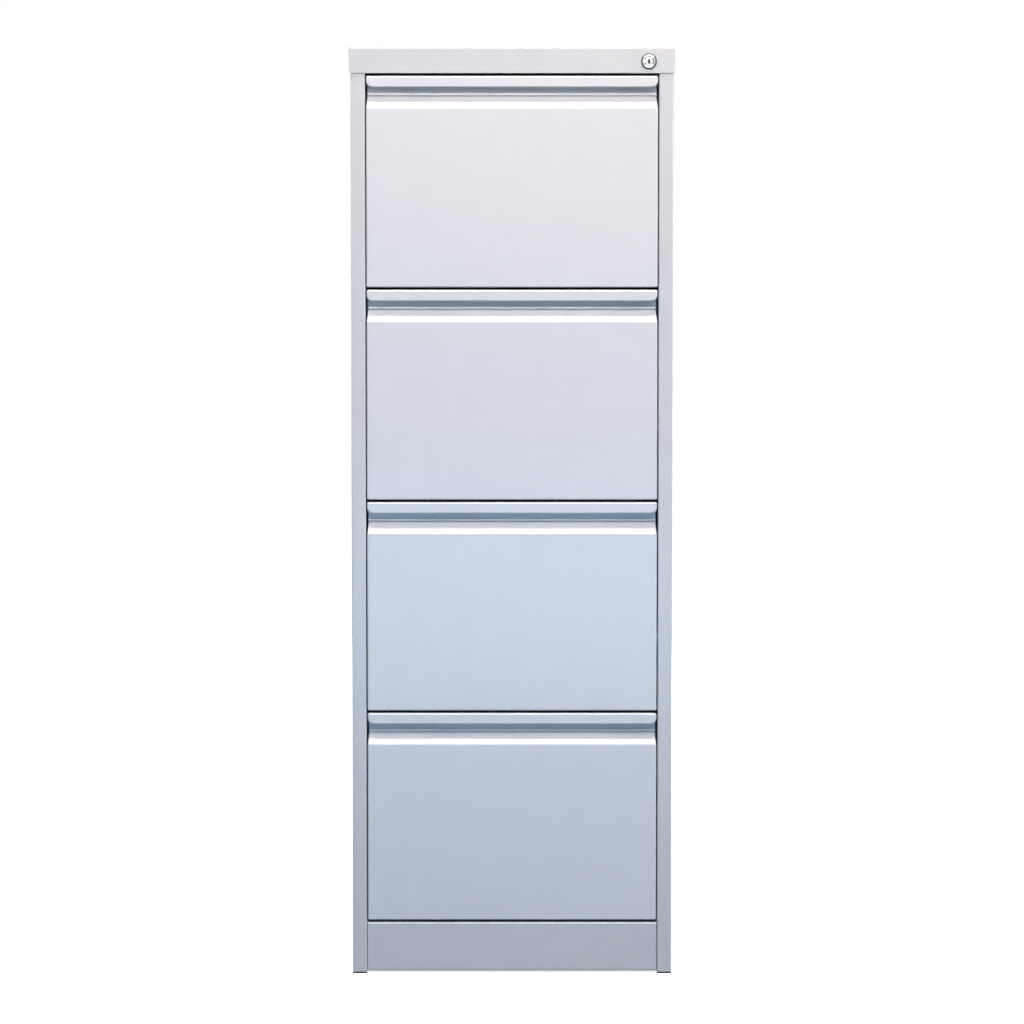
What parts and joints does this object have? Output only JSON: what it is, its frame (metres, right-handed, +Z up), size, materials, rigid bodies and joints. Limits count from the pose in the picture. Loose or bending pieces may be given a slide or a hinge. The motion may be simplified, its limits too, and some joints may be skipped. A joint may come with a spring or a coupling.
{
  "type": "filing cabinet",
  "caption": "Upright office filing cabinet in folded sheet steel: equal drawers with full-width pull lips on telescopic slides, and one lock that bars them all.",
  "frame": {"origin": "centre of the cabinet's bounding box, at floor level, under the glides", "axes": "+Z up along the height; -Y is the front that the drawers open towards; +X is the right-hand side seen from the front, where the lock is"},
  "size_m": [0.46, 0.62, 1.32],
  "materials": {
    "paint_grey": "light grey semi-gloss powder coat",
    "zinc_plate": "bright zinc plate",
    "chrome": "polished chrome plate",
    "black_plastic": "moulded black plastic"
  },
  "bodies": {
    "cabinet": {"top_cap": "paint_grey", "left_side_panel": "paint_grey", "right_side_panel": "paint_grey", "back_panel": "paint_grey", "base_pan": "paint_grey", "front_left_upright": "paint_grey", "front_right_upright": "paint_grey", "rear_left_upright": "paint_grey", "rear_right_upright": "paint_grey", "front_left_glide": "black_plastic", "front_right_glide": "black_plastic", "rear_left_glide": "black_plastic", "rear_right_glide": "black_plastic", "lock_housing": "chrome", "drawer_1_cabinet_rail_left": "zinc_plate", "drawer_1_cabinet_rail_right": "zinc_plate", "drawer_2_cabinet_rail_left": "zinc_plate", "drawer_2_cabinet_rail_right": "zinc_plate", "drawer_3_cabinet_rail_left": "zinc_plate", "drawer_3_cabinet_rail_right": "zinc_plate", "drawer_4_cabinet_rail_left": "zinc_plate", "drawer_4_cabinet_rail_right": "zinc_plate"},
    "drawer_1": {"drawer_1_front": "paint_grey", "drawer_1_pull": "paint_grey", "drawer_1_inner_panel": "paint_grey", "drawer_1_tray": "paint_grey", "drawer_1_lock_catch": "zinc_plate", "drawer_1_drawer_rail_left": "zinc_plate", "drawer_1_drawer_rail_right": "zinc_plate"},
    "drawer_1_middle": {"drawer_1_middle_rail_left": "zinc_plate", "drawer_1_middle_rail_right": "zinc_plate"},
    "drawer_2": {"drawer_2_front": "paint_grey", "drawer_2_pull": "paint_grey", "drawer_2_inner_panel": "paint_grey", "drawer_2_tray": "paint_grey", "drawer_2_lock_catch": "zinc_plate", "drawer_2_drawer_rail_left": "zinc_plate", "drawer_2_drawer_rail_right": "zinc_plate"},
    "drawer_2_middle": {"drawer_2_middle_rail_left": "zinc_plate", "drawer_2_middle_rail_right": "zinc_plate"},
    "drawer_3": {"drawer_3_front": "paint_grey", "drawer_3_pull": "paint_grey", "drawer_3_inner_panel": "paint_grey", "drawer_3_tray": "paint_grey", "drawer_3_lock_catch": "zinc_plate", "drawer_3_drawer_rail_left": "zinc_plate", "drawer_3_drawer_rail_right": "zinc_plate"},
    "drawer_3_middle": {"drawer_3_middle_rail_left": "zinc_plate", "drawer_3_middle_rail_right": "zinc_plate"},
    "drawer_4": {"drawer_4_front": "paint_grey", "drawer_4_pull": "paint_grey", "drawer_4_inner_panel": "paint_grey", "drawer_4_tray": "paint_grey", "drawer_4_lock_catch": "zinc_plate", "drawer_4_drawer_rail_left": "zinc_plate", "drawer_4_drawer_rail_right": "zinc_plate"},
    "drawer_4_middle": {"drawer_4_middle_rail_left": "zinc_plate", "drawer_4_middle_rail_right": "zinc_plate"},
    "lock_cylinder": {"lock_cylinder": "chrome"},
    "lock_bar": {"lock_bar": "zinc_plate"}
  },
  "joints": [
    {"name": "drawer_1_slide", "type": "slide", "parent": "cabinet", "child": "drawer_1", "axis": [0, -1, 0], "range_m": [0, 0.53]},
    {"name": "drawer_1_middle_slide", "type": "slide", "parent": "cabinet", "child": "drawer_1_middle", "axis": [0, -1, 0], "range_m": [0, 0.265]},
    {"name": "drawer_2_slide", "type": "slide", "parent": "cabinet", "child": "drawer_2", "axis": [0, -1, 0], "range_m": [0, 0.53]},
    {"name": "drawer_2_middle_slide", "type": "slide", "parent": "cabinet", "child": "drawer_2_middle", "axis": [0, -1, 0], "range_m": [0, 0.265]},
    {"name": "drawer_3_slide", "type": "slide", "parent": "cabinet", "child": "drawer_3", "axis": [0, -1, 0], "range_m": [0, 0.53]},
    {"name": "drawer_3_middle_slide", "type": "slide", "parent": "cabinet", "child": "drawer_3_middle", "axis": [0, -1, 0], "range_m": [0, 0.265]},
    {"name": "drawer_4_slide", "type": "slide", "parent": "cabinet", "child": "drawer_4", "axis": [0, -1, 0], "range_m": [0, 0.53]},
    {"name": "drawer_4_middle_slide", "type": "slide", "parent": "cabinet", "child": "drawer_4_middle", "axis": [0, -1, 0], "range_m": [0, 0.265]},
    {"name": "lock_turn", "type": "hinge", "parent": "cabinet", "child": "lock_cylinder", "pos_m": [0.193, -0.3, 1.3], "axis": [0, 1, 0], "range_deg": [0, 90]},
    {"name": "lock_bar_slide", "type": "slide", "parent": "cabinet", "child": "lock_bar", "axis": [0, 0, 1], "range_m": [0, 0.01131]}
  ],
  "couplings": [
    {"joint": "drawer_1_middle_slide", "follows": "drawer_1_slide", "ratio": 0.5},
    {"joint": "drawer_2_middle_slide", "follows": "drawer_2_slide", "ratio": 0.5},
    {"joint": "drawer_3_middle_slide", "follows": "drawer_3_slide", "ratio": 0.5},
    {"joint": "drawer_4_middle_slide", "follows": "drawer_4_slide", "ratio": 0.5},
    {"joint": "lock_turn", "follows": "lock_bar_slide", "rad_per_m": 138.84}
  ]
}
